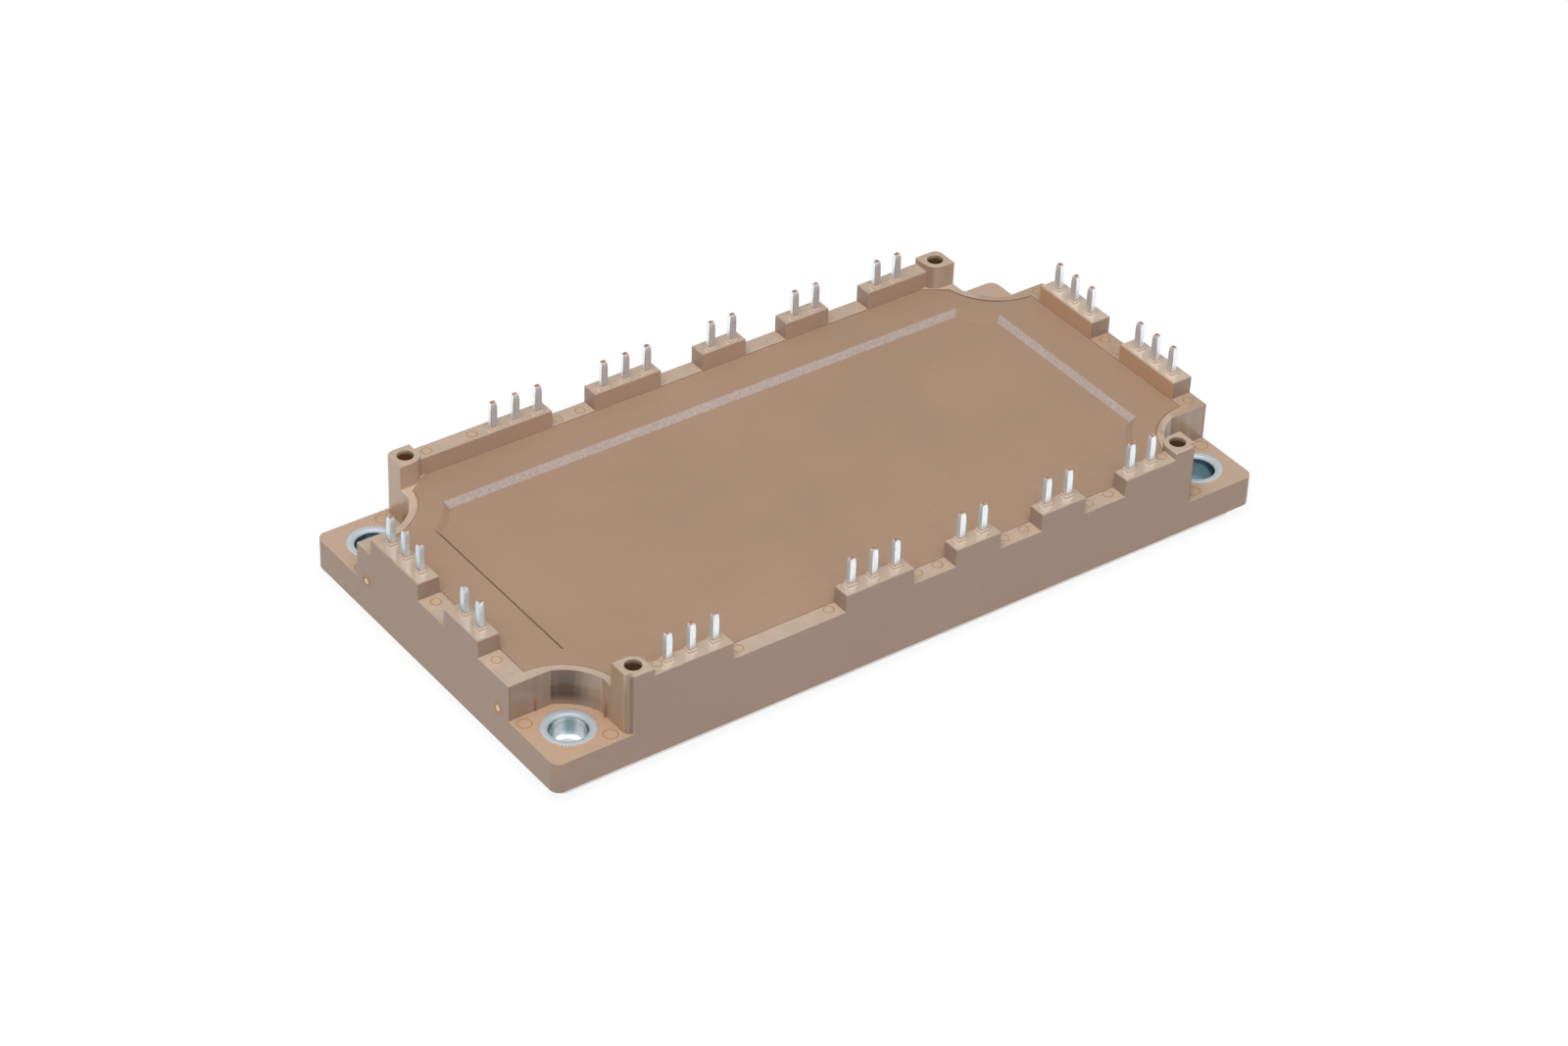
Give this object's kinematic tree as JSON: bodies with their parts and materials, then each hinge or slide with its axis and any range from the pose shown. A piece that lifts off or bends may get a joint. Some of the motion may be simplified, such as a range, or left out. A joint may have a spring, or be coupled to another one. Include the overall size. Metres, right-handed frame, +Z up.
{
  "type": "igbt transistor module",
  "caption": "Flat rectangular power semiconductor module with a moulded frame, recessed lid, metal baseplate, corner mounting holes and solder pins round its edge.",
  "frame": {"origin": "bottom centre of the baseplate", "axes": "+X along the long side, +Y across to the far long side, +Z up, the way the pins point"},
  "size_m": [0.122, 0.062, 0.0205],
  "materials": {
    "housing": "matt warm brown glass-filled moulding",
    "lid": "matt warm brown moulding, finely textured",
    "baseplate": "nickel plated copper",
    "bushing": "zinc plated turned steel",
    "pin": "bright tinned copper, bare at the cut tips",
    "solder": "dull solder",
    "copper": "copper foil bonded to ceramic",
    "ceramic": "white alumina",
    "chip": "polished silicon with a metal face",
    "thermistor": "dark sintered ceramic",
    "wire": "drawn aluminium wire",
    "gel": "soft clear silicone potting"
  },
  "bodies": {
    "root": {"housing_frame": "housing", "lid": "lid", "baseplate": "baseplate", "bushing_1": "bushing", "bushing_2": "bushing", "bushing_3": "bushing", "bushing_4": "bushing", "pin_near_01": "pin", "pin_near_02": "pin", "pin_near_03": "pin", "pin_near_04": "pin", "pin_near_05": "pin", "pin_near_06": "pin", "pin_near_07": "pin", "pin_near_08": "pin", "pin_near_09": "pin", "pin_near_10": "pin", "pin_near_11": "pin", "pin_near_12": "pin", "pin_far_01": "pin", "pin_far_02": "pin", "pin_far_03": "pin", "pin_far_04": "pin", "pin_far_05": "pin", "pin_far_06": "pin", "pin_far_07": "pin", "pin_far_08": "pin", "pin_far_09": "pin", "pin_far_10": "pin", "pin_far_11": "pin", "pin_far_12": "pin", "pin_left_01": "pin", "pin_left_02": "pin", "pin_left_03": "pin", "pin_left_04": "pin", "pin_left_05": "pin", "pin_right_01": "pin", "pin_right_02": "pin", "pin_right_03": "pin", "pin_right_04": "pin", "pin_right_05": "pin", "pin_right_06": "pin", "solder_left": "solder", "lower_copper_left": "copper", "ceramic_left": "ceramic", "upper_copper_left": "copper", "solder_middle": "solder", "lower_copper_middle": "copper", "ceramic_middle": "ceramic", "upper_copper_middle": "copper", "solder_right": "solder", "lower_copper_right": "copper", "ceramic_right": "ceramic", "upper_copper_right": "copper", "igbt_chips": "chip", "freewheel_diodes": "chip", "rectifier_diodes": "chip", "thermistor": "thermistor", "bond_wires": "wire", "silicone_gel": "gel"}
  },
  "joints": []
}
